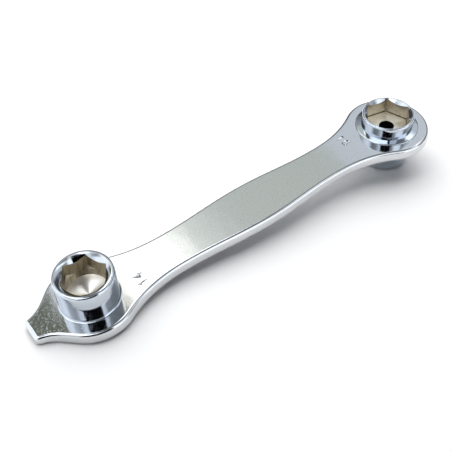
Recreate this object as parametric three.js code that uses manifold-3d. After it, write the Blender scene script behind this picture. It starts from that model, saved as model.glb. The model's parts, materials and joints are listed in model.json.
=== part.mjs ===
// Crank bolt wrench: a flat chromed bar with a 14 mm socket at one end, a 16 mm socket and a
// 15 mm socket back to back at the other, and a prying blade past the 14 mm end.
// Millimetres, +Z up. The tool's own axes start where the 14 mm socket's axis meets the bar's
// underside, with X towards the 16 mm socket.
import * as THREE from "three";
import { mergeVertices } from "three/addons/utils/BufferGeometryUtils.js";
import Module from "manifold-3d";

// Handle bar
const SPAN = 136; // between the socket axes
const BAR_THICKNESS = 4.2;
const BAR_EDGE_RADIUS = 0.9;
const LAND_14 = 6.05; // bar left round the foot of the 14 mm socket
const LAND_16 = 4.4; // bar left round the flange of the 16 mm socket
const WAIST_14_WIDTH = 16.9;
const WAIST_14_DISTANCE = 32; // from the 14 mm socket's axis
const BELLY_WIDTH = 20.7; // at the middle of the span
const WAIST_16_WIDTH = 17.1;
const WAIST_16_DISTANCE = 34.5; // from the 16 mm socket's axis
const NECK_14_ANGLE = 63; // degrees round the end at which the neck leaves it
const NECK_16_ANGLE = 61;
const CURVE_EASE = 0.37; // share of a curve's chord that each of its handles takes

// Prying blade
const BLADE_PROJECTION = 6.1; // past the bar's round end
const BLADE_WIDTH = 9.4;
const BLADE_CORNER = 1.5; // legs of the round at each end of the edge
const BLADE_FLARE = 13; // degrees by which each flank opens at the edge
const BLADE_ROOT_ANGLE = 49; // degrees round the end at which a flank leaves it
const BLADE_EDGE_THICKNESS = 0.9;
const BLADE_BEVEL_LENGTH = 1.5;
const BLADE_BEVEL_DROP = 1.3;
const BLADE_TAPER_LENGTH = 13.1; // along the underside, from the heel to the edge

// 14 mm socket
const HEX_14 = 14.1; // across flats
const HEX_14_DEPTH = 5.6; // at the corners
const HEX_14_TURN = -4.4; // degrees
const SOCKET_14_WALL = 1.8; // at the hex corners
const SOCKET_14_HEIGHT = 12; // above the bar
const SOCKET_14_FLOOR = 2.5; // above the bar
const SPIGOT_SHOULDER = 2.45; // step from the barrel in to the spigot that fills the bar
const SPIGOT_RECESS = 0.3; // from the bar's underside up to the spigot's end

// Double-ended socket
const HEX_16 = 16.1;
const HEX_16_TURN = -13.2;
const SOCKET_16_WALL = 0.9;
const SOCKET_16_HEIGHT = 6;
const SOCKET_16_FLOOR = 0.4;
const FLANGE_STEP = 2.2; // from the wider barrel out to the flange's edge
const FLANGE_EDGE = 0.3; // height of the upright edge
const FLANGE_HEIGHT = 1.4;
const HEX_15 = 15.1;
const HEX_15_DEPTH = 6.5;
const SOCKET_15_WALL = 1.4;
const SOCKET_15_DROP = 11; // below the bar
const SOCKET_15_ROOF = 2; // below the bar
const WEB_HOLE_DIAMETER = 6;

// Shared by the sockets
const BORE_OVER_HEX = 0.2; // the round bore past the hex is wider than the flats by this
const LEAD_IN = 0.35; // how far the lead-in reaches past the hex corners
const RIM_EDGE = 0.35; // round on the outer edge of each rim
const FILLET = 0.6; // legs of the rings of filler metal
const JOINT_GAP = 0.2; // between a socket and the bar
const TURNED_FACETS = 48;
const CURVE_STEPS = 12;
const CUT_OVER = 1; // how far a cutter passes the face that it opens

const cornerRadius = (hex) => hex / Math.sqrt(3);
const RADIUS_14 = cornerRadius(HEX_14) + SOCKET_14_WALL;
const RADIUS_16 = cornerRadius(HEX_16) + SOCKET_16_WALL;
const RADIUS_15 = cornerRadius(HEX_15) + SOCKET_15_WALL;
const SPIGOT_RADIUS = RADIUS_14 - SPIGOT_SHOULDER;
const FLANGE_RADIUS = Math.max(RADIUS_16, RADIUS_15) + FLANGE_STEP;
const END_RADIUS_14 = RADIUS_14 + LAND_14;
const END_RADIUS_16 = FLANGE_RADIUS + LAND_16;
const BLADE_REACH = END_RADIUS_14 + BLADE_PROJECTION;
const HEEL_DISTANCE = BLADE_REACH - BLADE_TAPER_LENGTH;
const SEAT = BAR_THICKNESS + JOINT_GAP;

const FINISH = {
  bar: { color: 0xc4c7ca, roughness: 0.22, metalness: 1 },
  socket: { color: 0xd2d6da, roughness: 0.08, metalness: 1 },
  filler: { color: 0xcdd0d2, roughness: 0.15, metalness: 1 },
};

const wasm = await Module();
wasm.setup();

// A closed geometry as a solid, with its shared corners joined and its empty faces left out.
function solid(geometry) {
  const bare = geometry.clone();
  bare.deleteAttribute("normal");
  bare.deleteAttribute("uv");
  const joined = mergeVertices(bare, 1e-4);
  const corners = joined.index.array;
  const kept = [];
  for (let i = 0; i < corners.length; i += 3) {
    const [a, b, c] = corners.slice(i, i + 3);
    if (a !== b && b !== c && c !== a) kept.push(a, b, c);
  }
  const mesh = new wasm.Mesh({
    numProp: 3,
    vertProperties: joined.attributes.position.array,
    triVerts: new Uint32Array(kept),
  });
  return new wasm.Manifold(mesh);
}

// A solid as a named mesh.
function piece(name, body, finish) {
  const mesh = body.getMesh();
  const geometry = new THREE.BufferGeometry();
  geometry.setAttribute("position", new THREE.BufferAttribute(mesh.vertProperties, 3));
  geometry.setIndex(new THREE.BufferAttribute(mesh.triVerts, 1));
  geometry.computeVertexNormals();
  const made = new THREE.Mesh(geometry, new THREE.MeshStandardMaterial(finish));
  made.name = name;
  return made;
}

// A solid of revolution about Z from [radius, height] pairs that run up its outside.
function turned(profile) {
  const points = profile.map(([r, z]) => new THREE.Vector2(r, z));
  return solid(new THREE.LatheGeometry(points, TURNED_FACETS).rotateX(Math.PI / 2));
}

function cylinder(radius, bottom, top) {
  return turned([
    [0, bottom],
    [radius, bottom],
    [radius, top],
    [0, top],
  ]);
}

// Points of a round in a profile, between two directions in degrees.
function roundEdge(centreR, centreZ, radius, from, to) {
  const steps = 3;
  return Array.from({ length: steps + 1 }, (_, i) => {
    const angle = THREE.MathUtils.degToRad(from + ((to - from) * i) / steps);
    return [centreR + radius * Math.cos(angle), centreZ + radius * Math.sin(angle)];
  });
}

// Sockets are cut from above, open at the height rim.
function hexCut(hex, floor, rim) {
  const radius = cornerRadius(hex);
  const height = rim + CUT_OVER - floor;
  const prism = new THREE.CylinderGeometry(radius, radius, height, 6);
  prism.rotateX(Math.PI / 2).rotateZ(Math.PI / 2).translate(0, 0, floor + height / 2);
  return solid(prism);
}

// A 45 degree cone that has the given radius at the given height, open at the rim.
function coneCut(hex, radius, height, rim) {
  const inside = 0.45 * hex;
  return turned([
    [0, height - (radius - inside)],
    [inside, height - (radius - inside)],
    [radius + CUT_OVER, height + CUT_OVER],
    [radius + CUT_OVER, rim + 2 * CUT_OVER],
    [0, rim + 2 * CUT_OVER],
  ]);
}

const leadInCut = (hex, rim) => coneCut(hex, cornerRadius(hex) + LEAD_IN, rim, rim);

// The hex whose corners run out on a cone into a round bore, which goes on to the floor.
function deepCut(hex, hexDepth, floor, rim) {
  const runOut = coneCut(hex, cornerRadius(hex), rim - hexDepth, rim);
  const bore = cylinder((hex + BORE_OVER_HEX) / 2, floor, rim - hexDepth / 2);
  return hexCut(hex, floor, rim).intersect(runOut).add(bore).add(leadInCut(hex, rim));
}

function socket14() {
  const rim = BAR_THICKNESS + SOCKET_14_HEIGHT;
  const barrel = turned([
    [0, SPIGOT_RECESS],
    [SPIGOT_RADIUS, SPIGOT_RECESS],
    [SPIGOT_RADIUS, SEAT],
    [RADIUS_14, SEAT],
    ...roundEdge(RADIUS_14 - RIM_EDGE, rim - RIM_EDGE, RIM_EDGE, 0, 90),
    [0, rim],
  ]);
  return barrel.subtract(deepCut(HEX_14, HEX_14_DEPTH, BAR_THICKNESS + SOCKET_14_FLOOR, rim));
}

function doubleSocket() {
  const rim16 = BAR_THICKNESS + SOCKET_16_HEIGHT;
  const floor16 = BAR_THICKNESS + SOCKET_16_FLOOR;
  const barrel = turned([
    [0, -SOCKET_15_DROP],
    ...roundEdge(RADIUS_15 - RIM_EDGE, RIM_EDGE - SOCKET_15_DROP, RIM_EDGE, -90, 0),
    [RADIUS_15, SEAT],
    [FLANGE_RADIUS, SEAT],
    [FLANGE_RADIUS, SEAT + FLANGE_EDGE],
    [RADIUS_16, BAR_THICKNESS + FLANGE_HEIGHT],
    ...roundEdge(RADIUS_16 - RIM_EDGE, rim16 - RIM_EDGE, RIM_EDGE, 0, 90),
    [0, rim16],
  ]);
  const above = hexCut(HEX_16, floor16, rim16).add(leadInCut(HEX_16, rim16));
  const below = deepCut(HEX_15, HEX_15_DEPTH, SOCKET_15_ROOF, SOCKET_15_DROP).rotate([180, 0, 0]);
  const hole = cylinder(WEB_HOLE_DIAMETER / 2, -SOCKET_15_DROP, rim16);
  return barrel.subtract(above).subtract(below).subtract(hole);
}

// A hollow-faced ring of filler metal in the corner between a barrel and the bar's top.
function fillerRing(barrelRadius) {
  const inner = barrelRadius + JOINT_GAP;
  const outer = inner + FILLET;
  const top = JOINT_GAP + FILLET;
  return turned([
    [inner, JOINT_GAP],
    ...roundEdge(outer, top, 0.85 * FILLET, 270, 180),
    [inner, top],
    [inner, JOINT_GAP],
  ]);
}

// One side of the bar's outline from the blade's edge to the far end, then its mirror image.
function barOutline() {
  const toward = (degrees) => {
    const angle = THREE.MathUtils.degToRad(degrees);
    return new THREE.Vector2(Math.cos(angle), Math.sin(angle));
  };
  const onEnd = (x, radius, degrees) => toward(degrees).multiplyScalar(radius).setX(x + radius * toward(degrees).x);
  const side = new THREE.Path();
  // A smooth curve between two points, with the direction of travel at each.
  const curve = (from, fromDegrees, to, toDegrees) => {
    const handle = CURVE_EASE * from.distanceTo(to);
    const first = from.clone().addScaledVector(toward(fromDegrees), handle);
    const last = to.clone().addScaledVector(toward(toDegrees), -handle);
    side.bezierCurveTo(first.x, first.y, last.x, last.y, to.x, to.y);
  };
  const corner = new THREE.Vector2(-BLADE_REACH, BLADE_WIDTH / 2);
  const flank = corner.clone().addScaledVector(toward(BLADE_FLARE), BLADE_CORNER);
  const root = onEnd(0, END_RADIUS_14, 180 - BLADE_ROOT_ANGLE);
  const neck14 = onEnd(0, END_RADIUS_14, NECK_14_ANGLE);
  const waist14 = new THREE.Vector2(WAIST_14_DISTANCE, WAIST_14_WIDTH / 2);
  const belly = new THREE.Vector2(SPAN / 2, BELLY_WIDTH / 2);
  const waist16 = new THREE.Vector2(SPAN - WAIST_16_DISTANCE, WAIST_16_WIDTH / 2);
  const neck16 = onEnd(SPAN, END_RADIUS_16, 180 - NECK_16_ANGLE);
  side.moveTo(corner.x, corner.y - BLADE_CORNER);
  side.quadraticCurveTo(corner.x, corner.y, flank.x, flank.y);
  curve(flank, BLADE_FLARE, root, 90 - BLADE_ROOT_ANGLE);
  side.absarc(0, 0, END_RADIUS_14, root.angle(), neck14.angle(), true);
  curve(neck14, NECK_14_ANGLE - 90, waist14, 0);
  curve(waist14, 0, belly, 0);
  curve(belly, 0, waist16, 0);
  curve(waist16, 0, neck16, 90 - NECK_16_ANGLE);
  side.absarc(SPAN, 0, END_RADIUS_16, Math.PI - THREE.MathUtils.degToRad(NECK_16_ANGLE), 0, true);
  const points = side.getPoints(CURVE_STEPS);
  const mirrored = points.slice(0, -1).reverse();
  return new THREE.Shape([...points, ...mirrored.map((p) => new THREE.Vector2(p.x, -p.y))]);
}

// A prism right across the 14 mm end from a side outline of [x, z] pairs.
function acrossBar(points) {
  const width = 2 * (END_RADIUS_14 + CUT_OVER);
  const outline = new THREE.Shape(points.map(([x, z]) => new THREE.Vector2(x, z)));
  const prism = new THREE.ExtrudeGeometry(outline, { depth: width, bevelEnabled: false });
  return solid(prism.rotateX(Math.PI / 2).translate(0, width / 2, 0));
}

function handleBar() {
  const plate = new THREE.ExtrudeGeometry(barOutline(), {
    depth: BAR_THICKNESS - 2 * BAR_EDGE_RADIUS,
    bevelThickness: BAR_EDGE_RADIUS,
    bevelSize: BAR_EDGE_RADIUS,
    bevelOffset: -BAR_EDGE_RADIUS,
    bevelSegments: 3,
  });
  plate.translate(0, 0, BAR_EDGE_RADIUS);
  const past = -BLADE_REACH - CUT_OVER;
  const bevelEnd = -BLADE_REACH + BLADE_BEVEL_LENGTH;
  const bevelSlope = BLADE_BEVEL_DROP / BLADE_BEVEL_LENGTH;
  const bevelCut = acrossBar([
    [past, BAR_THICKNESS - (bevelEnd - past) * bevelSlope],
    [bevelEnd + CUT_OVER, BAR_THICKNESS + CUT_OVER * bevelSlope],
    [past, BAR_THICKNESS + CUT_OVER * bevelSlope],
  ]);
  const rise = BAR_THICKNESS - BLADE_BEVEL_DROP - BLADE_EDGE_THICKNESS;
  const taperSlope = rise / BLADE_TAPER_LENGTH;
  const taperCut = acrossBar([
    [past, rise + CUT_OVER * taperSlope],
    [past, -CUT_OVER * taperSlope],
    [-HEEL_DISTANCE + CUT_OVER, -CUT_OVER * taperSlope],
  ]);
  const hole14 = cylinder(SPIGOT_RADIUS + JOINT_GAP, -CUT_OVER, BAR_THICKNESS + CUT_OVER);
  const hole15 = cylinder(RADIUS_15 + JOINT_GAP, -CUT_OVER, BAR_THICKNESS + CUT_OVER);
  return solid(plate)
    .subtract(bevelCut)
    .subtract(taperCut)
    .subtract(hole14)
    .subtract(hole15.translate([SPAN, 0, 0]));
}

const end14 = new THREE.Group();
const barrel14 = piece("socket_14mm", socket14(), FINISH.socket);
barrel14.rotation.z = THREE.MathUtils.degToRad(HEX_14_TURN);
const ring14 = piece("braze_ring_14mm", fillerRing(RADIUS_14), FINISH.filler);
ring14.position.z = BAR_THICKNESS;
end14.add(barrel14, ring14);

const end16 = new THREE.Group();
const barrel16 = piece("socket_16mm_15mm", doubleSocket(), FINISH.socket);
barrel16.rotation.z = THREE.MathUtils.degToRad(HEX_16_TURN);
const ring15 = piece("braze_ring_15mm", fillerRing(RADIUS_15), FINISH.filler);
ring15.rotation.x = Math.PI;
end16.add(barrel16, ring15);
end16.position.x = SPAN;

// The tool lies as it does on a bench, on the heel of its blade and the rim of the 15 mm socket.
const tool = new THREE.Group();
tool.add(piece("handle_bar", handleBar(), FINISH.bar), end14, end16);
const rimContact = SPAN - RADIUS_15 + RIM_EDGE;
tool.rotation.y = -Math.atan2(SOCKET_15_DROP, rimContact + HEEL_DISTANCE);
tool.updateMatrixWorld(true);
const box = new THREE.Box3().setFromObject(tool, true);
const middle = box.getCenter(new THREE.Vector3());
tool.position.set(-middle.x, -middle.y, -box.min.z);

const wrench = new THREE.Group();
wrench.name = "crank_bolt_wrench";
wrench.add(tool);

export default wrench;
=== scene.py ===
import json
from math import ceil, cos, pi, radians, sin, sqrt, tan

import bmesh
import bpy
from mathutils import Matrix, Vector
from mathutils.geometry import interpolate_bezier


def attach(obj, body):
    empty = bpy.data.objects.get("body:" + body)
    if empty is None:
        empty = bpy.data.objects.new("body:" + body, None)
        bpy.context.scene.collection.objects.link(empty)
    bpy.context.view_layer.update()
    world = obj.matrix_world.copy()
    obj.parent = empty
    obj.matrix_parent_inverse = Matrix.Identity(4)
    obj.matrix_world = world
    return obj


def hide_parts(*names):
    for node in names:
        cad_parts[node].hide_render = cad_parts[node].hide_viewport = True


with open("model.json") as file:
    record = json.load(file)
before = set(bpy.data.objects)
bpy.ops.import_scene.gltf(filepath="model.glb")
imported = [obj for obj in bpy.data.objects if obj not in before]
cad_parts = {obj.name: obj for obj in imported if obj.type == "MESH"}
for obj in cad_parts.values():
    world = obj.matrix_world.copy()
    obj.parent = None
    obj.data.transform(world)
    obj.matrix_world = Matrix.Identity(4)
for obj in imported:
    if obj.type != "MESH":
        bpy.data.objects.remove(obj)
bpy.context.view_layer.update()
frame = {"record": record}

# How the tool lies
# The wrench rests on the heel of its prying blade and on the rim of its lowest socket, so it is
# tilted end to end. Its own axes start where the 14 mm socket's axis meets the bar's underside,
# with X towards the far end and Z up through the socket; sizes below are millimetres on them.
BAR_THICKNESS = 4.2
SOCKET_14_HEIGHT = 12.0
MM = 0.001

rim_14 = next(m for m in frame["record"]["mounts"] if m["name"] == "rim_14mm")
up = Vector(rim_14["axis"]).normalized()
across = Vector((0, 1, 0))
rim_centre = Vector((rim_14["pos_m"][0], 0, rim_14["pos_m"][2]))
foot = rim_centre - up * (BAR_THICKNESS + SOCKET_14_HEIGHT) * MM
turn = Matrix((across.cross(up), across, up)).transposed().to_4x4()
LIE = Matrix.Translation(foot) @ turn @ Matrix.Scale(MM, 4)
TILT = turn.to_euler()


# Handle bar
# A flat steel bar, blanked and forged with rounded edges, waisted behind both ends and full in
# the middle. Its tip is drawn out to a prying blade with a ground edge, and the whole bar is
# blasted to a fine grain before it is chromed. Plain size numbers are stamped beside the sockets.
SPAN = 136.0
EDGE_RADIUS, UNDER_RADIUS = 1.25, 0.9
EDGE_ROWS = 8
DRAFT, PARTING_HEIGHT = 8.0, 1.3  # the forged sides lean in above the parting line
HOLD = 0.06  # a narrow flat strip beside each round, so that the flats shade flat
RADIUS_14 = 10.2
RADIUS_15 = 10.118
SPIGOT_RADIUS = 7.491
END_RADIUS_14 = 15.991
END_RADIUS_16 = 16.795
NECK_14_ANGLE, NECK_16_ANGLE = 63.0, 61.0
WAIST_14 = Vector((32.0, 8.45))
BELLY = Vector((SPAN / 2, 10.35))
WAIST_16 = Vector((SPAN - 34.5, 8.55))
CURVE_EASE = 0.37
POINT_STEP = 0.6
TIP_STEPS, CORNER_STEPS = 8, 14
BLADE_REACH = 22.091
BLADE_WIDTH = 9.4
BLADE_CORNER = 1.7
BLADE_FLARE = 13.0
BLADE_ROOT_ANGLE = 49.0
BEVEL_LENGTH, BEVEL_DROP = 1.5, 1.3
TAPER_LENGTH = 13.1
TIP_THICKNESS = 0.9
HOLE_CLEARANCE = 0.03
CUT_REACH = 1e-5  # points this near a cutting plane count as on it
TURNED_SIDES = 144
NUMBER_HEIGHT = 3.1
NUMBER_DEPTH = 0.4
PUNCH_SIDES, PUNCH_OVER = 16, 0.1  # the punches stand this far out of the surface
NUMBER_LINE = 0.34  # half the width of a line at the surface
DIGITS = {  # the lines of each plain number, in shares of its height
    "1": (((0, 0.78), (0.22, 1), (0.22, 0)),),
    "4": (((0.42, 1), (0, 0.32), (0.6, 0.32)), ((0.42, 1), (0.42, 0))),
    "6": (((0.5, 0.92), (0.36, 1), (0.2, 0.94), (0.07, 0.75), (0.03, 0.45), (0.07, 0.18), (0.2, 0.03),
           (0.36, 0), (0.5, 0.1), (0.56, 0.3), (0.48, 0.5), (0.33, 0.58), (0.16, 0.52), (0.05, 0.38)),),
}
DIGIT_STEP = 0.92
NUMBER_14_AT = (16.9, -4.2)
NUMBER_16_AT = (116.2, 3.9)
FLAT_FACING = 0.999  # how nearly a flat faces straight up or down


def heading(angle):
    return Vector((cos(radians(angle)), sin(radians(angle))))


def bend(start, start_angle, end, end_angle):
    """Points of a smooth curve between two points, without its last one."""
    handle = CURVE_EASE * (end - start).length
    count = ceil((end - start).length / POINT_STEP) + 1
    first, last = start + heading(start_angle) * handle, end - heading(end_angle) * handle
    return list(interpolate_bezier(start, first, last, end, count))[:-1]


def arc(x, radius, start_angle, end_angle):
    count = ceil(radius * radians(abs(end_angle - start_angle)) / POINT_STEP)
    step = (end_angle - start_angle) / count
    return [Vector((x, 0)) + radius * heading(start_angle + step * i) for i in range(count)]


def bar_side():
    """The bar's outline on its +Y side, from the middle of the blade's edge to the far end."""
    corner = Vector((-BLADE_REACH, BLADE_WIDTH / 2))
    flat_end = corner - Vector((0, BLADE_CORNER))
    flank = corner + heading(BLADE_FLARE) * BLADE_CORNER
    root = END_RADIUS_14 * heading(180 - BLADE_ROOT_ANGLE)
    neck_14 = END_RADIUS_14 * heading(NECK_14_ANGLE)
    neck_16 = Vector((SPAN, 0)) + END_RADIUS_16 * heading(180 - NECK_16_ANGLE)
    ease = 2 / 3  # a quadratic corner as a cubic
    points = [Vector((-BLADE_REACH, flat_end.y * i / TIP_STEPS)) for i in range(TIP_STEPS)]
    points += list(interpolate_bezier(flat_end, flat_end.lerp(corner, ease),
                                      flank.lerp(corner, ease), flank,
                                      CORNER_STEPS + 1))[:-1]
    points += bend(flank, BLADE_FLARE, root, 90 - BLADE_ROOT_ANGLE)
    points += arc(0, END_RADIUS_14, 180 - BLADE_ROOT_ANGLE, NECK_14_ANGLE)
    points += bend(neck_14, NECK_14_ANGLE - 90, WAIST_14, 0)
    points += bend(WAIST_14, 0, BELLY, 0)
    points += bend(BELLY, 0, WAIST_16, 0)
    points += bend(WAIST_16, 0, neck_16, 90 - NECK_16_ANGLE)
    points += arc(SPAN, END_RADIUS_16, 180 - NECK_16_ANGLE, 0)
    points.append(Vector((SPAN + END_RADIUS_16, 0)))
    return [p.to_2d() for p in points]


def bar_blank():
    """The bar with its rounded edges and blade, before any hole or number is in it."""
    side = bar_side()
    outline = side + [Vector((p.x, -p.y)) for p in side[-2:0:-1]]
    count = len(outline)
    outward = []
    for i in range(count):
        along = (outline[(i + 1) % count] - outline[i - 1]).normalized()
        outward.append(Vector((-along.y, along.x)))
    rows = [(UNDER_RADIUS + HOLD, 0.0)]
    for k in range(EDGE_ROWS + 1):
        angle = pi / 2 * (1 - k / EDGE_ROWS)
        rows.append((UNDER_RADIUS * (1 - cos(angle)), UNDER_RADIUS * (1 - sin(angle))))
    rows.append((0.0, PARTING_HEIGHT))
    draft = radians(DRAFT)
    lean = tan(draft) * (BAR_THICKNESS - PARTING_HEIGHT - EDGE_RADIUS * (1 - sin(draft)))
    lean -= EDGE_RADIUS * (1 - cos(draft))
    for k in range(EDGE_ROWS + 1):
        angle = draft + (pi / 2 - draft) * k / EDGE_ROWS
        rows.append((lean + EDGE_RADIUS * (1 - cos(angle)),
                     BAR_THICKNESS - EDGE_RADIUS * (1 - sin(angle))))
    rows.append((lean + EDGE_RADIUS + HOLD, BAR_THICKNESS))

    bm = bmesh.new()
    rings = [[bm.verts.new((*(p - n * inset), z)) for p, n in zip(outline, outward)]
             for inset, z in rows]
    for low, high in zip(rings, rings[1:]):
        for i in range(count):
            bm.faces.new((low[i - 1], high[i - 1], high[i], low[i]))
    bm.faces.new(rings[0])
    bm.faces.new(reversed(rings[-1]))

    bevel = Vector((-BEVEL_DROP, 0, BEVEL_LENGTH)).normalized()
    bevel_at = Vector((BEVEL_LENGTH - BLADE_REACH, 0, BAR_THICKNESS))
    rise = BAR_THICKNESS - BEVEL_DROP - TIP_THICKNESS
    taper = Vector((-rise, 0, -TAPER_LENGTH)).normalized()
    heel_at = Vector((TAPER_LENGTH - BLADE_REACH, 0, 0))
    for at, facing in ((bevel_at, bevel), (heel_at, taper)):
        everything = bm.verts[:] + bm.edges[:] + bm.faces[:]
        cut = bmesh.ops.bisect_plane(bm, geom=everything, dist=CUT_REACH, plane_co=at,
                                     plane_no=facing, clear_outer=True)
        loop = [e for e in cut["geom_cut"] if isinstance(e, bmesh.types.BMEdge)]
        bmesh.ops.contextual_create(bm, geom=loop)
    for x in (heel_at.x - HOLD, heel_at.x + HOLD):
        bmesh.ops.bisect_plane(bm, geom=bm.verts[:] + bm.edges[:] + bm.faces[:], dist=CUT_REACH,
                               plane_co=(x, 0, 0), plane_no=(1, 0, 0))
    bmesh.ops.recalc_face_normals(bm, faces=bm.faces)
    mesh = bpy.data.meshes.new("bar_blank")
    bm.to_mesh(mesh)
    bm.free()
    return mesh


def loose(name, mesh):
    made = bpy.data.objects.new(name, mesh)
    bpy.context.scene.collection.objects.link(made)
    return made


def made_plain(source):
    """The evaluated mesh of a working object, which is then thrown away."""
    mesh = bpy.data.meshes.new_from_object(
        source.evaluated_get(bpy.context.evaluated_depsgraph_get()))
    bpy.data.objects.remove(source)
    return mesh


def drill(x, radius):
    bm = bmesh.new()
    bmesh.ops.create_cone(bm, cap_ends=True, segments=TURNED_SIDES, radius1=radius,
                          radius2=radius, depth=4 * BAR_THICKNESS,
                          matrix=Matrix.Translation((x, 0, 0)))
    mesh = bpy.data.meshes.new("drill")
    bm.to_mesh(mesh)
    bm.free()
    return loose("drill", mesh)


def punch(digits, x, y, reading):
    """V-edged number punches for the bar's top; reading is the direction of their baseline."""
    grown = NUMBER_LINE * (1 + PUNCH_OVER / NUMBER_DEPTH)
    lines = [[Vector((px + DIGIT_STEP * i, py)) for px, py in line]
             for i, digit in enumerate(digits) for line in DIGITS[digit]]
    ends = [p for line in lines for p in line]
    centre = Vector(((min(p.x for p in ends) + max(p.x for p in ends)) / 2, 0.5))
    standing = Matrix.Translation((x, y, BAR_THICKNESS)) @ Matrix.Rotation(radians(reading), 4, "Z")
    made = []
    for line in lines:
        for start, end in zip(line, line[1:]):
            bm = bmesh.new()
            for point in (start, end):
                foot_at = ((point - centre) * NUMBER_HEIGHT).to_3d()
                bm.verts.new(standing @ (foot_at - Vector((0, 0, NUMBER_DEPTH))))
                for k in range(PUNCH_SIDES):
                    side = grown * heading(360 * k / PUNCH_SIDES)
                    bm.verts.new(standing @ (foot_at + Vector((*side, PUNCH_OVER))))
            bmesh.ops.convex_hull(bm, input=bm.verts)
            bmesh.ops.delete(bm, geom=[v for v in bm.verts if not v.link_faces], context="VERTS")
            bmesh.ops.recalc_face_normals(bm, faces=bm.faces)
            mesh = bpy.data.meshes.new("punch")
            bm.to_mesh(mesh)
            bm.free()
            made.append(loose("punch", mesh))
    return made


def smooth(mesh, sharp=30):
    mesh.shade_smooth()
    mesh.set_sharp_from_angle(angle=radians(sharp))


bar_work = loose("bar_work", bar_blank())
tools = [
    drill(0, SPIGOT_RADIUS + HOLE_CLEARANCE),
    drill(SPAN, RADIUS_15 + HOLE_CLEARANCE),
    *punch("14", *NUMBER_14_AT, 90),
    *punch("16", *NUMBER_16_AT, -90),
]
for tool in tools:
    cutting = bar_work.modifiers.new(tool.name, "BOOLEAN")
    cutting.operation, cutting.solver, cutting.object = "DIFFERENCE", "EXACT", tool
bar_mesh = made_plain(bar_work)
for tool in tools:
    bpy.data.objects.remove(tool)
bar_mesh.transform(LIE)
bar_mesh.materials.clear()
smooth(bar_mesh)
for face in bar_mesh.polygons:  # the ground flats, cut through by the holes and numbers, stay flat
    if len(face.vertices) != 4 and abs(face.normal.dot(up)) > FLAT_FACING:
        face.use_smooth = False


def colour(code):
    """A linear colour from an sRGB hex value."""
    parts = [int(code[i:i + 2], 16) / 255 for i in (0, 2, 4)]
    return (*[c / 12.92 if c <= 0.04045 else ((c + 0.055) / 1.055) ** 2.4 for c in parts], 1)


def feed(tree, node, inputs):
    """Fills a node's inputs; each is given a value or the socket that feeds it."""
    for name, value in inputs.items():
        if isinstance(value, bpy.types.NodeSocket):
            tree.links.new(value, node.inputs[name])
        else:
            node.inputs[name].default_value = value


def add(tree, kind, inputs=None, **settings):
    """A new node with its settings and inputs."""
    node = tree.nodes.new(kind)
    for name, value in settings.items():
        setattr(node, name, value)
    feed(tree, node, inputs or {})
    return node


def new_material(name):
    made = bpy.data.materials.new(name)
    made.use_nodes = True
    return made, made.node_tree, made.node_tree.nodes["Principled BSDF"]


def per_mm(size):
    """The scale of a pattern whose features are this many millimetres across."""
    return 1 / (size * MM)


NOISE_LOW, NOISE_HIGH = 0.3, 0.7  # most of a noise pattern lies between these


def ranged(tree, pattern, low, high):
    """A noise pattern drawn out to run from low to high."""
    return add(tree, "ShaderNodeMapRange",
               {"Value": pattern.outputs["Fac"], "From Min": NOISE_LOW, "From Max": NOISE_HIGH,
                "To Min": low, "To Max": high}).outputs["Result"]


def toned(tree, pattern, dark, pale):
    """A noise pattern as a colour that runs from dark to pale."""
    ramp = add(tree, "ShaderNodeValToRGB", {"Fac": pattern.outputs["Fac"]})
    stops = ramp.color_ramp.elements
    stops[0].position, stops[1].position = NOISE_LOW, NOISE_HIGH
    stops[0].color, stops[1].color = colour(dark), colour(pale)
    return ramp.outputs["Color"]


# Blasted steel under chrome: mirror-like, but the blasting leaves a faint sandy grain with scattered
# pits, most of them worn in near the tip, that catch the light as specks. The real grain is about
# 0.15 mm and is drawn at 0.4 mm to show.
satin_chrome, tree, surface = new_material("blasted_steel_chrome")
GRAIN_SIZE, GRAIN_DEPTH = 0.4, 0.008
PIT_SPACING, PIT_DEPTH = 0.5, 0.015
PIT_FLOOR, PIT_EDGE = 0.06, 0.28  # radii of a pit, in shares of the spacing
WORN_FROM, WORN_TO = -14, 8  # the pits fade out between these places along the bar
WAVE_SIZE = 9.0
place = add(tree, "ShaderNodeTexCoord").outputs["Object"]
grain = add(tree, "ShaderNodeTexNoise", {"Vector": place, "Scale": per_mm(GRAIN_SIZE),
                                         "Detail": 2.0, "Roughness": 0.6})
spots = add(tree, "ShaderNodeTexVoronoi", {"Vector": place, "Scale": per_mm(PIT_SPACING)})
pits = add(tree, "ShaderNodeMapRange", {"Value": spots.outputs["Distance"], "From Min": PIT_FLOOR,
                                        "From Max": PIT_EDGE}, interpolation_type="SMOOTHSTEP")
wave = add(tree, "ShaderNodeTexNoise", {"Vector": place, "Scale": per_mm(WAVE_SIZE), "Detail": 1.0})
forging = add(tree, "ShaderNodeBump", {"Height": wave.outputs["Fac"], "Strength": 0.05,
                                       "Distance": 1 * MM})
along = add(tree, "ShaderNodeSeparateXYZ", {"Vector": place})
worn = add(tree, "ShaderNodeMapRange", {"Value": along.outputs["X"], "From Min": foot.x + WORN_FROM * MM,
                                        "From Max": foot.x + WORN_TO * MM,
                                        "To Min": 1.0, "To Max": 0.05})
pitting = add(tree, "ShaderNodeBump", {"Height": pits.outputs["Result"],
                                       "Strength": worn.outputs["Result"],
                                       "Distance": PIT_DEPTH * MM,
                                       "Normal": forging.outputs["Normal"]})
blasting = add(tree, "ShaderNodeBump", {"Height": grain.outputs["Fac"], "Strength": 1.0,
                                        "Distance": GRAIN_DEPTH * MM,
                                        "Normal": pitting.outputs["Normal"]})
feed(tree, surface, {"Base Color": toned(tree, grain, "c9cbcd", "d5d7d9"),
                     "Roughness": ranged(tree, grain, 0.05, 0.1),
                     "Normal": blasting.outputs["Normal"], "Metallic": 1.0})
bar_mesh.materials.append(satin_chrome)

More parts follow.
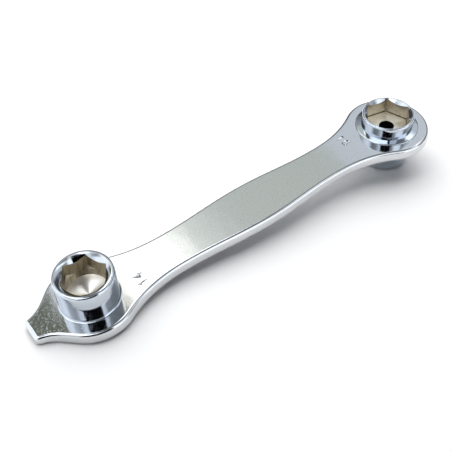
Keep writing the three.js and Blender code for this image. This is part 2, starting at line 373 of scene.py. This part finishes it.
handle_bar = loose("chromed_bar", bar_mesh)
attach(handle_bar, "root")
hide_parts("handle_bar")


# 14 mm socket
# A turned steel barrel with a broached hexagon. Its spigot goes through the bar, its mouth has a
# coned lead-in that runs onto the flats in scallops, and the corners of the hexagon run out on a
# cone into a round bore with a turned floor. Bright chrome outside, thin nickel in the hollow.
HEX_14, HEX_14_DEPTH, HEX_14_TURN = 14.1, 5.6, -4.4
SOCKET_14_FLOOR = 2.5
SPIGOT_RECESS = 0.3
SEAT = BAR_THICKNESS + 0.2
BORE_OVER_HEX = 0.2
LEAD_14 = (0.85, 0.55, 0.17)  # how far outside the corners the lead-in starts, its slope and its round
FLOOR_SLOPE = 0.21
RIM_EDGE = 0.95
RIM_CROWN = 6.0  # degrees that the rim falls outwards
HEX_SIDES = 6
SECTOR_STEPS = 24
LEAD_STEPS = 6
JOIN_DISTANCE = 0.002
LAY_UNIT = 100.0  # millimetres of profile to one unit of the map named lay
# The last kind of side is the wall of the hole through the web, whose near-black colour is painted
# shade.
CHROME_SIDE, NICKEL_SIDE, FLOOR_SIDE, RIM_SIDE, PAINTED_SHADE_SIDE = range(5)


def at(radius, height):
    """A place on a turned profile, the same all round."""
    return lambda hexagon: (radius, height)


def rounded(centre_radius, centre_height, radius, start, end, last=CHROME_SIDE, steps=8):
    """Places round an arc between two angles; last is the kind of surface that follows it."""
    angles = [radians(start + (end - start) * i / steps) for i in range(steps + 1)]
    sides = [CHROME_SIDE] * steps + [last]
    return [(at(centre_radius + radius * cos(a), centre_height + radius * sin(a)), 1, side)
            for a, side in zip(angles, sides)]


def mouth(size, rim, lead):
    """Places of the lead-in cone, from the rim's inner edge to the scallops in the hexagon's flats."""
    width, slope, rounding = lead
    widest = size / sqrt(3) + width

    def place(share):
        def on_cone(hexagon):
            inset = share * (widest - hexagon)
            return widest - inset, rim - slope * inset - rounding * inset ** 2
        return on_cone

    sides = [RIM_SIDE if i < LEAD_STEPS / 2 else CHROME_SIDE for i in range(LEAD_STEPS)]
    return [*[(place(i / LEAD_STEPS), 1, side) for i, side in enumerate(sides)],
            (place(1), 5, NICKEL_SIDE)]


def broached(size, depth, rim, floor, lead):
    """Profile places of a hexagon that runs out into a round bore, from the rim to the floor."""
    corner, bore = size / sqrt(3), (size + BORE_OVER_HEX) / 2
    middle = rim - depth / 2
    out_from = rim - depth - corner
    return [
        *mouth(size, rim, lead),
        (lambda hexagon: (hexagon, middle), 1, NICKEL_SIDE),
        (lambda hexagon: (max(hexagon, bore), middle), 5, NICKEL_SIDE),
        (lambda hexagon: (max(hexagon, bore), out_from + max(hexagon, bore)), 3, NICKEL_SIDE),
        (at(bore, out_from + bore), 4, NICKEL_SIDE),
        (at(bore, floor), 12, FLOOR_SIDE),
    ]


def sector_mesh(size, profile, closed):
    """One flat's share of a socket; each place in the profile says how many rows lead on from it."""
    apothem = size / 2
    half = pi / HEX_SIDES
    angles = [half * (2 * i / SECTOR_STEPS - 1) for i in range(SECTOR_STEPS + 1)]
    rows, sides = [], []
    steps = list(zip(profile, profile[1:] + profile[:1] if closed else profile[1:]))
    for (here, count, side), (there, _, _) in steps:
        for k in range(count):
            rows.append((here, there, k / count))
            sides.append(side)
    if not closed:
        rows.append((profile[-1][0], profile[-1][0], 0))
    vertices, around, along = [], [], []
    travelled = 0.0
    last = None
    for here, there, share in rows:
        (r0, z0), (r1, z1) = here(apothem), there(apothem)
        now = Vector((r0 + (r1 - r0) * share, z0 + (z1 - z0) * share))
        travelled += (now - last).length if last else 0.0
        last = now
        for angle in angles:
            hexagon = apothem / cos(angle)
            (r0, z0), (r1, z1) = here(hexagon), there(hexagon)
            r, z = r0 + (r1 - r0) * share, z0 + (z1 - z0) * share
            vertices.append((r * cos(angle), r * sin(angle), z))
            around.append(angle)
            along.append(travelled)
    width, total = SECTOR_STEPS + 1, len(rows)
    faces, face_sides = [], []
    for row in range(total if closed else total - 1):
        following = (row + 1) % total
        for i in range(SECTOR_STEPS):
            faces.append((row * width + i, row * width + i + 1,
                          following * width + i + 1, following * width + i))
            face_sides.append(sides[row])
    mesh = bpy.data.meshes.new("sector")
    mesh.from_pydata(vertices, [], faces)
    mesh.attributes.new("side", "INT", "FACE").data.foreach_set("value", face_sides)
    lay = mesh.uv_layers.new(name="lay")
    for corner in mesh.loops:
        lay.data[corner.index].uv = (around[corner.vertex_index], along[corner.vertex_index] / LAY_UNIT)
    return mesh


# Six like sectors set round the socket's axis and joined, with a finish for each kind of surface.
round_six = bpy.data.node_groups.new("sectors_round_axis", "GeometryNodeTree")
FINISH_NAMES = ("Outside", "Hollow", "Floor", "Rim", "Painted Shade")  # in the order of the sides above
socket_of = {"Sector": "NodeSocketGeometry", "Sectors": "NodeSocketInt",
             "Join Distance": "NodeSocketFloat",
             **{name: "NodeSocketMaterial" for name in FINISH_NAMES}}
SOCKET_ID = {name: round_six.interface.new_socket(name, in_out="INPUT", socket_type=kind).identifier
             for name, kind in socket_of.items()}
round_six.interface.new_socket("Socket", in_out="OUTPUT", socket_type="NodeSocketGeometry")
given = add(round_six, "NodeGroupInput").outputs
number = add(round_six, "GeometryNodeInputIndex")
share = add(round_six, "ShaderNodeMath", {0: 2 * pi, 1: given["Sectors"]}, operation="DIVIDE")
turned_by = add(round_six, "ShaderNodeMath", {0: number.outputs[0], 1: share.outputs[0]},
                operation="MULTIPLY")
angles = add(round_six, "ShaderNodeCombineXYZ", {"Z": turned_by.outputs[0]})
points = add(round_six, "GeometryNodePoints", {"Count": given["Sectors"]})
set_round = add(round_six, "GeometryNodeInstanceOnPoints",
                {"Points": points.outputs[0], "Instance": given["Sector"],
                 "Rotation": angles.outputs[0]})
whole = add(round_six, "GeometryNodeRealizeInstances", {"Geometry": set_round.outputs[0]})
joined = add(round_six, "GeometryNodeMergeByDistance",
             {"Geometry": whole.outputs[0], "Distance": given["Join Distance"]})
kind_of = add(round_six, "GeometryNodeInputNamedAttribute", {"Name": "side"}, data_type="INT")
finished = joined
for side, name in enumerate(FINISH_NAMES):
    chosen = add(round_six, "FunctionNodeCompare", data_type="INT", operation="EQUAL")
    for pin in chosen.inputs:
        if pin.type == "INT" and pin.identifier.startswith("A"):
            round_six.links.new(kind_of.outputs[0], pin)
        elif pin.type == "INT":
            pin.default_value = side
    finished = add(round_six, "GeometryNodeSetMaterial",
                   {"Geometry": finished.outputs[0], "Selection": chosen.outputs[0],
                    "Material": given[name]})
add(round_six, "NodeGroupOutput", {"Socket": finished.outputs[0]})


def turned_piece(name, size, profile, place, finishes, closed=False):
    """A finished object from a profile, its sectors set round the axis and laid in their place."""
    sector = sector_mesh(size, profile, closed)
    sector.materials.append(finishes[0])
    work = loose(name + "_work", sector)
    pattern = work.modifiers.new("round", "NODES")
    pattern.node_group = round_six
    values = {"Sectors": HEX_SIDES, "Join Distance": JOIN_DISTANCE,
              **dict(zip(FINISH_NAMES, finishes))}
    for label, value in values.items():
        pattern[SOCKET_ID[label]] = value
    mesh = made_plain(work)
    mesh.transform(LIE @ place)
    bm = bmesh.new()
    bm.from_mesh(mesh)
    bmesh.ops.recalc_face_normals(bm, faces=bm.faces)
    bm.to_mesh(mesh)
    bm.free()
    smooth(mesh)
    return loose(name, mesh)


def streaks(tree, width, length, detail):
    """Noise drawn out along the sockets' axes."""
    place = add(tree, "ShaderNodeTexCoord").outputs["Object"]
    upright = add(tree, "ShaderNodeMapping", {"Vector": place, "Rotation": (0, -TILT.y, 0)},
                  vector_type="TEXTURE")
    drawn = add(tree, "ShaderNodeMapping",
                {"Vector": upright.outputs["Vector"],
                 "Scale": (per_mm(width), per_mm(width), per_mm(length))})
    return add(tree, "ShaderNodeTexNoise", {"Vector": drawn.outputs["Vector"], "Scale": 1.0,
                                            "Detail": detail})


def turned_rings(tree, size):
    """Noise in rings round a turned face."""
    lay = add(tree, "ShaderNodeUVMap", uv_map="lay").outputs["UV"]
    wound = add(tree, "ShaderNodeMapping", {"Vector": lay, "Scale": (0, LAY_UNIT / size, 0)})
    return add(tree, "ShaderNodeTexNoise", {"Vector": wound.outputs["Vector"], "Scale": 1.0,
                                            "Detail": 2.0})


# Polished steel under bright chrome: a cold mirror. Polishing on a belt leaves faint flutes along
# the barrel, about 1.5 mm apart, that draw reflections out into upright streaks.
bright_chrome, tree, surface = new_material("polished_steel_chrome")
FLUTE_SIZE, FLUTE_LENGTH = 1.5, 40.0
flutes = streaks(tree, FLUTE_SIZE, FLUTE_LENGTH, 1.0)
belt = add(tree, "ShaderNodeBump", {"Height": flutes.outputs["Fac"], "Strength": 0.05,
                                    "Distance": 0.5 * MM})
feed(tree, surface, {"Base Color": colour("c6cdd5"), "Metallic": 1.0,
                     "Roughness": ranged(tree, flutes, 0.03, 0.07),
                     "Normal": belt.outputs["Normal"]})

# Broached steel under thin nickel: warm and dull, with fine scores along the broach's path,
# about 0.1 mm apart and drawn at 0.4 mm.
thin_nickel, tree, surface = new_material("broached_steel_nickel")
SCORE_SIZE, SCORE_LENGTH = 0.4, 12.0
scores = streaks(tree, SCORE_SIZE, SCORE_LENGTH, 2.0)
cut = add(tree, "ShaderNodeBump", {"Height": scores.outputs["Fac"], "Strength": 0.2,
                                   "Distance": 0.1 * MM})
feed(tree, surface, {"Base Color": toned(tree, scores, "a69b86", "c5bba6"), "Metallic": 1.0,
                     "Roughness": ranged(tree, scores, 0.25, 0.4),
                     "Normal": cut.outputs["Normal"]})

# Faced steel under thin nickel: the facing tool leaves fine rings, about 0.1 mm apart and drawn at
# 0.35 mm, that spread light across themselves, so a floor shows bright fans beside a dark one.
turned_nickel, tree, surface = new_material("turned_steel_nickel")
RING_SIZE = 0.35
facing = add(tree, "ShaderNodeTangent", direction_type="UV_MAP", uv_map="lay")
rings = turned_rings(tree, RING_SIZE)
feed(tree, surface, {"Base Color": toned(tree, rings, "ece7dc", "f6f3ec"), "Metallic": 1.0,
                     "Roughness": 0.28, "Anisotropic": 0.8, "Anisotropic Rotation": 0.25,
                     "Tangent": facing.outputs["Tangent"]})

# Faced steel under bright chrome, on the rims: the same rings, half smoothed over by the plate,
# which dull the mirror a little.
faced_chrome, tree, surface = new_material("faced_steel_chrome")
rings = turned_rings(tree, RING_SIZE)
feed(tree, surface, {"Base Color": colour("ccced2"), "Metallic": 1.0,
                     "Roughness": ranged(tree, rings, 0.1, 0.2)})

# Wall of the hole through the web: painted shade, near-black for the dark inside the hole; dull, with a
# brown tone 1 mm wide that varies at random.
hole_shade_steel, tree, surface = new_material("drilled_steel_painted_shade")
BLOOM_SIZE = 1.0
place = add(tree, "ShaderNodeTexCoord").outputs["Object"]
bloom = add(tree, "ShaderNodeTexNoise", {"Vector": place, "Scale": per_mm(BLOOM_SIZE), "Detail": 2.0})
feed(tree, surface, {"Base Color": toned(tree, bloom, "1d1a17", "35302a"), "Metallic": 1.0,
                     "Roughness": 0.6})

# The last finish is the painted shade on the wall of the hole through the web.
SOCKET_FINISHES = (bright_chrome, thin_nickel, turned_nickel, faced_chrome, hole_shade_steel)
rim = BAR_THICKNESS + SOCKET_14_HEIGHT
floor = BAR_THICKNESS + SOCKET_14_FLOOR
rim_fall = tan(radians(RIM_CROWN)) * (RADIUS_14 - RIM_EDGE - HEX_14 / sqrt(3) - LEAD_14[0])
profile_14 = [
    (at(0, SPIGOT_RECESS), 4, CHROME_SIDE),
    (at(SPIGOT_RADIUS, SPIGOT_RECESS), 2, CHROME_SIDE),
    (at(SPIGOT_RADIUS, SEAT), 1, CHROME_SIDE),
    (at(RADIUS_14, SEAT), 8, CHROME_SIDE),
    *rounded(RADIUS_14 - RIM_EDGE, rim - rim_fall - RIM_EDGE, RIM_EDGE, 0, 90 - RIM_CROWN, RIM_SIDE),
    *broached(HEX_14, HEX_14_DEPTH, rim, floor, LEAD_14),
    (at(0, floor - FLOOR_SLOPE * HEX_14 / 2), 1, FLOOR_SIDE),
]
half_flat = Matrix.Rotation(radians(HEX_14_TURN) + pi / HEX_SIDES, 4, "Z")
socket_14 = turned_piece("chromed_socket_14mm", HEX_14, profile_14, half_flat, SOCKET_FINISHES)
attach(socket_14, "root")
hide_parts("socket_14mm")


# Filler ring of the 14 mm socket
# Brazing metal drawn into the corner between the barrel and the bar's top, hollow-faced as it
# froze, and chromed over with the joint.
FILLET, FILLET_STEPS = 0.55, 6
RING_LAP, RING_SINK = 0.05, 0.1  # how far the metal runs into the joint, sideways and in depth


def filler_profile(radius, height, rising):
    """A hollow-faced ring on a barrel; rising is 1 on the bar's top and -1 under it."""
    inner, outer = radius - RING_LAP, radius + FILLET
    face = [radians(90 * i / FILLET_STEPS) for i in range(FILLET_STEPS + 1)]
    hollow = [(at(outer - FILLET * sin(a), height + rising * FILLET * (1 - cos(a))), 1, CHROME_SIDE)
              for a in face]
    sunk = height - rising * RING_SINK
    return [(at(inner, sunk), 1, CHROME_SIDE), (at(outer, sunk), 1, CHROME_SIDE), *hollow,
            (at(inner, height + rising * FILLET), 1, CHROME_SIDE)]


FILLER_FINISHES = (bright_chrome,) * len(FINISH_NAMES)
ring_14 = turned_piece("filler_ring_14mm", HEX_14, filler_profile(RADIUS_14, BAR_THICKNESS, 1),
                       half_flat, FILLER_FINISHES, closed=True)
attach(ring_14, "root")
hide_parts("braze_ring_14mm")


# Double-ended socket
# One turned barrel set through the bar, with a coned flange that seats on its top. A shallow
# 16 mm hexagon opens upwards, a deeper 15 mm one downwards, and a hole joins them through the web.
HEX_16, HEX_16_TURN = 16.1, -13.2
RADIUS_16 = 10.195
SOCKET_16_HEIGHT = 6.0
SOCKET_16_FLOOR = -0.4
LEAD_16 = (0.12, 0.87, 0.0)
RIM_16_EDGE = 0.6
RELIEF_WIDTH, RELIEF_DEPTH = 0.35, 0.4
FLANGE_RADIUS = 12.395
FLANGE_EDGE = 0.25
FLANGE_SLOPE = 0.2
FLANGE_STEPS = 6
FLANGE_TURN = 79.0  # degrees that the round of its edge turns through, up to the cone
HEX_15, HEX_15_DEPTH = 15.1, 6.5
SOCKET_15_DROP = 11.0
SOCKET_15_ROOF = 2.0
WEB_HOLE_RADIUS = 3.0

rim_16 = BAR_THICKNESS + SOCKET_16_HEIGHT
floor_16 = BAR_THICKNESS + SOCKET_16_FLOOR
# The lower socket is drawn mouth up, then turned over; its hexagon is this share of the upper one.
smaller = HEX_15 / HEX_16
below = [(lambda hexagon, f=f: (f(hexagon * smaller)[0], -f(hexagon * smaller)[1]), count, side)
         for f, count, side in broached(HEX_15, HEX_15_DEPTH, SOCKET_15_DROP, SOCKET_15_ROOF,
                                      LEAD_14)]
flange_edge = FLANGE_RADIUS - FLANGE_EDGE
flange_seat = BAR_THICKNESS + HOLE_CLEARANCE
flange_top = flange_seat + FLANGE_EDGE
profile_16 = [
    *mouth(HEX_16, rim_16, LEAD_16),
    (lambda hexagon: (hexagon, floor_16 - RELIEF_DEPTH), 1, NICKEL_SIDE),
    (lambda hexagon: (hexagon - RELIEF_WIDTH, floor_16 - RELIEF_DEPTH), 1, NICKEL_SIDE),
    (lambda hexagon: (hexagon - RELIEF_WIDTH, floor_16), 8, FLOOR_SIDE),
    # The wall of the hole through the web takes the near-black painted shade.
    (at(WEB_HOLE_RADIUS, floor_16), 4, PAINTED_SHADE_SIDE),
    (at(WEB_HOLE_RADIUS, -SOCKET_15_ROOF), 8, FLOOR_SIDE),
    *reversed([(f, n, s) for (f, _, _), (_, n, s) in zip(below[1:], below)]),
    (below[0][0], 2, CHROME_SIDE),
    *rounded(RADIUS_15 - RIM_EDGE, RIM_EDGE - SOCKET_15_DROP, RIM_EDGE, -90, 0),
    (at(RADIUS_15, flange_seat), 2, CHROME_SIDE),
    *rounded(flange_edge, flange_seat, FLANGE_EDGE, 0, FLANGE_TURN)[:-1],
    (at(flange_edge + FLANGE_SLOPE * FLANGE_EDGE, flange_top), FLANGE_STEPS, CHROME_SIDE),
    (at(RADIUS_16, flange_top + FLANGE_SLOPE * (flange_edge - RADIUS_16)), 6, CHROME_SIDE),
    *rounded(RADIUS_16 - RIM_16_EDGE, rim_16 - RIM_16_EDGE, RIM_16_EDGE, 0, 90, RIM_SIDE),
]
far_end = Matrix.Translation((SPAN, 0, 0)) @ Matrix.Rotation(
    radians(HEX_16_TURN) + pi / HEX_SIDES, 4, "Z")
socket_16 = turned_piece("chromed_socket_16mm_15mm", HEX_16, profile_16, far_end, SOCKET_FINISHES,
                         closed=True)
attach(socket_16, "root")
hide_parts("socket_16mm_15mm")


# Filler ring of the 15 mm socket
# The same brazing metal, in the corner between the lower barrel and the bar's underside.
ring_15 = turned_piece("filler_ring_15mm", HEX_15, filler_profile(RADIUS_15, 0, -1), far_end,
                       FILLER_FINISHES, closed=True)
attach(ring_15, "root")
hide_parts("braze_ring_15mm")


# Table and light
# White paper under the tool and soft light from behind it. Chrome shows only what is round it, so
# plain cards stand there: a bright strip, grey sides, a dark ceiling and a black card by the lens.
FLOOR_HALF = 4.0
AMBIENT = 0.14
SHADOW_REACH, WHITE_FROM = 150, 300  # the paper goes over to plain white between these

paper = bpy.data.meshes.new("paper")
h = FLOOR_HALF
paper.from_pydata([(-h, -h, 0), (h, -h, 0), (h, h, 0), (-h, h, 0)], [], [(0, 1, 2, 3)])


def seen_directly(tree):
    """1 for a ray from the camera, a reflection or a refraction, and otherwise 0."""
    ray = add(tree, "ShaderNodeLightPath").outputs
    first = add(tree, "ShaderNodeMath", {0: ray["Is Camera Ray"], 1: ray["Is Glossy Ray"]},
                operation="ADD")
    return add(tree, "ShaderNodeMath", {0: first.outputs[0], 1: ray["Is Transmission Ray"]},
               operation="ADD", use_clamp=True).outputs[0]


# White paper, matt so that it keeps the shadow. Away from the tool it goes over to plain white.
white_paper, tree, surface = new_material("white_paper")
place = add(tree, "ShaderNodeTexCoord").outputs["Object"]
away = add(tree, "ShaderNodeVectorMath", {0: place}, operation="LENGTH")
fade = add(tree, "ShaderNodeMapRange", {"Value": away.outputs["Value"], "From Min": SHADOW_REACH * MM,
                                        "From Max": WHITE_FROM * MM}, interpolation_type="SMOOTHSTEP")
glow = add(tree, "ShaderNodeMath", {0: fade.outputs["Result"], 1: seen_directly(tree)},
           operation="MULTIPLY")
feed(tree, surface, {"Base Color": colour("f8f8f8"), "Roughness": 1.0, "Specular IOR Level": 0.0,
                     "Emission Color": colour("ffffff"), "Emission Strength": glow.outputs[0]})
paper.materials.append(white_paper)
loose("paper", paper)

world = bpy.context.scene.world or bpy.data.worlds.new("room")
bpy.context.scene.world = world
world.use_nodes = True
tree = world.node_tree
tree.nodes.clear()
ambient = add(tree, "ShaderNodeBackground", {"Color": colour("f0f6ff"), "Strength": AMBIENT})
white = add(tree, "ShaderNodeBackground", {"Color": colour("ffffff"), "Strength": 1.0})
sky = add(tree, "ShaderNodeMixShader", {0: seen_directly(tree), 1: ambient.outputs[0],
                                        2: white.outputs[0]})
add(tree, "ShaderNodeOutputWorld", {"Surface": sky.outputs[0]})

# A light tent over the table, seen only in reflections. Each row has a height in degrees and the
# levels of its panels by bearing, from +Y towards +X, and the tent grades from one to the next.
TENT_RADIUS, TENT_STEP = 3.0, 3
SKIRT = ((-180, 0.5), (-150, 0.4), (-120, 0.7), (-85, 1.6), (-40, 1.6), (-28, 0.08), (72, 0.08),
         (90, 0.3), (108, 0.1), (130, 0.3), (140, 2.0), (168, 1.8))
SIDES = ((-180, 1.8), (-172, 1.2), (-167, 0.45), (-158, 0.45), (-120, 0.9), (-110, 1.3),
         (-102, 0.75), (-94, 0.42), (-78, 0.38), (-62, 1.7), (-40, 1.6), (-18, 1.0), (-5, 0.75),
         (12, 0.7), (20, 0.5), (28, 0.5), (33, 0.25), (48, 0.25), (60, 0.8), (90, 0.85), (120, 0.75),
         (144, 0.4), (158, 1.8), (172, 1.8))
PANELS = ((-180, 1.7), (-150, 1.7), (-122, 1.9), (-108, 1.5), (-96, 0.78), (-72, 1.4), (-57, 1.8),
          (-40, 1.4), (-15, 1.4), (0, 1.9), (50, 1.9), (65, 2.2), (75, 2.0), (84, 1.2), (98, 2.2),
          (130, 2.0), (140, 1.4), (150, 1.0), (160, 1.8))
UPPER = ((-180, 1.0), (-150, 1.2), (-138, 2.6), (-60, 2.6), (-40, 0.8), (-34, 4.0), (-18, 4.0),
         (-14, 0.3), (15, 0.3), (20, 4.0), (38, 4.0), (43, 0.3), (155, 0.3), (165, 1.2))
ROOF = ((0, 0.1),)
TENT = ((4, SKIRT), (28, SKIRT), (34, SIDES), (44, SIDES), (50, PANELS), (54, PANELS),
        (57, UPPER), (71, UPPER), (75, ROOF), (86, ROOF))
# Cards that hang in the tent on the tool's own axes: x and y ranges, height, colour, and the levels
# at the two ends in x, with an even grade between them.
CARDS = {
    "dark_end": (-60, 76, 250, 480, 500, "f6ffe8", 0.2, 0.2),
    "dark_front": (76, 140, 250, 368, 500, "f6ffe8", 0.25, 0.25),
    "lamp": (140, 216, 260, 490, 500, "fdfbf4", 2.4, 2.4),
    "lamp_edge": (216, 250, 240, 490, 500, "f9fbf4", 2.3, 1.08),
    "lamp_fade": (250, 320, 240, 490, 500, "f8fdf7", 1.08, 0.75),
    "grey_side": (320, 520, 190, 490, 500, "f7fdf6", 0.75, 0.68),
    "blue_side": (500, 760, 190, 520, 498, "ebf2fb", 0.92, 0.92),
}


def level_at(stops, bearing):
    """The level at a bearing, graded between the stops on either side of it."""
    ends = [(stops[-1][0] - 360, stops[-1][1]), *stops, (stops[0][0] + 360, stops[0][1])]
    for (start, here), (end, there) in zip(ends, ends[1:]):
        if start <= bearing <= end:
            return here + (there - here) * (bearing - start) / (end - start)


def reflected_only(made):
    made.visible_camera = made.visible_diffuse = made.visible_shadow = False
    made.visible_transmission = False


def lit_cloth(name, tint):
    """Cloth that glows at the level kept on its points."""
    made = bpy.data.materials.new(name)
    made.use_nodes = True
    made.node_tree.nodes.clear()
    level = add(made.node_tree, "ShaderNodeAttribute", attribute_name="level").outputs["Fac"]
    shown = add(made.node_tree, "ShaderNodeEmission", {"Color": colour(tint), "Strength": level})
    add(made.node_tree, "ShaderNodeOutputMaterial", {"Surface": shown.outputs[0]})
    return made


bearings = range(-180, 180, TENT_STEP)
tent = bmesh.new()
glowing = tent.verts.layers.float.new("level")
rings = []
for height, stops in TENT:
    ring = []
    for bearing in bearings:
        e, a = radians(height), radians(bearing)
        ring.append(tent.verts.new((TENT_RADIUS * cos(e) * sin(a), TENT_RADIUS * cos(e) * cos(a),
                                    TENT_RADIUS * sin(e))))
        ring[-1][glowing] = level_at(stops, bearing)
    rings.append(ring)
for low, high in zip(rings, rings[1:]):
    for j in range(len(bearings)):
        tent.faces.new((low[j - 1], high[j - 1], high[j], low[j]))
tent.faces.new(rings[-1])
tent_mesh = bpy.data.meshes.new("light_tent")
tent.to_mesh(tent_mesh)
tent.free()
tent_mesh.materials.append(lit_cloth("tent_cloth", "f3f8ff"))
reflected_only(loose("light_tent", tent_mesh))


def card(name, corners, tint, levels):
    mesh = bpy.data.meshes.new(name)
    mesh.from_pydata(corners, [], [(0, 1, 2, 3)])
    mesh.attributes.new("level", "FLOAT", "POINT").data.foreach_set("value", levels)
    mesh.materials.append(lit_cloth(name, tint))
    reflected_only(loose(name, mesh))


for name, (x0, x1, y0, y1, z, tint, start, end) in CARDS.items():
    card(name, [LIE @ Vector(p) for p in ((x0, y0, z), (x1, y0, z), (x1, y1, z), (x0, y1, z))],
         tint, (start, end, end, start))

# A large soft lamp over the far side shapes the shadow on the paper, and no reflection shows it.
KEY_SIZE, KEY_POWER = (1.5, 1.1), 12.6
KEY_AT, KEY_AIM = (190, 350, 520), (SPAN / 2, 0, 0)
key_data = bpy.data.lights.new("key", "AREA")
key_data.shape = "RECTANGLE"
key_data.size, key_data.size_y = KEY_SIZE
key_data.energy = KEY_POWER
key = bpy.data.objects.new("key", key_data)
key.location = LIE @ Vector(KEY_AT)
key.rotation_euler = (LIE @ Vector(KEY_AIM) - key.location).to_track_quat("-Z", "Y").to_euler()
key.visible_glossy = False
bpy.context.scene.collection.objects.link(key)


# Camera
# A hand-held camera over the near side of the 14 mm end, looking down along the bar.
LENS_AT = Vector((-119.596, -139.357, 186.339)) * MM
LENS_RIGHT = Vector((0.80183313, -0.59689579, 0.02791161))
LENS_DOWN = Vector((-0.41119918, -0.58506624, -0.69900839))
LENS_AHEAD = LENS_RIGHT.cross(LENS_DOWN)
LENS_LENGTH, SENSOR_WIDTH = 55.816, 36.0

lens = bpy.data.cameras.new("camera")
lens.sensor_width = SENSOR_WIDTH
lens.lens = LENS_LENGTH
lens.clip_start, lens.clip_end = 0.01, 20.0
camera = bpy.data.objects.new("camera", lens)
camera.matrix_world = Matrix.Translation(LENS_AT) @ Matrix(
    (LENS_RIGHT, -LENS_DOWN, -LENS_AHEAD)).transposed().to_4x4()
bpy.context.scene.collection.objects.link(camera)
bpy.context.scene.camera = camera

# A black card stands behind the camera, so that the sockets' sides show a dark bar.
BLACK_X, BLACK_Y, BLACK_Z = (-466, -30), -250, (100, 560)
(left, right), (low, high) = BLACK_X, BLACK_Z
card("black_card", [Vector((x, BLACK_Y, z)) * MM
                    for x, z in ((left, low), (right, low), (right, high), (left, high))],
     "000000", (0.0,) * 4)

bpy.context.scene.view_settings.view_transform = "Standard"
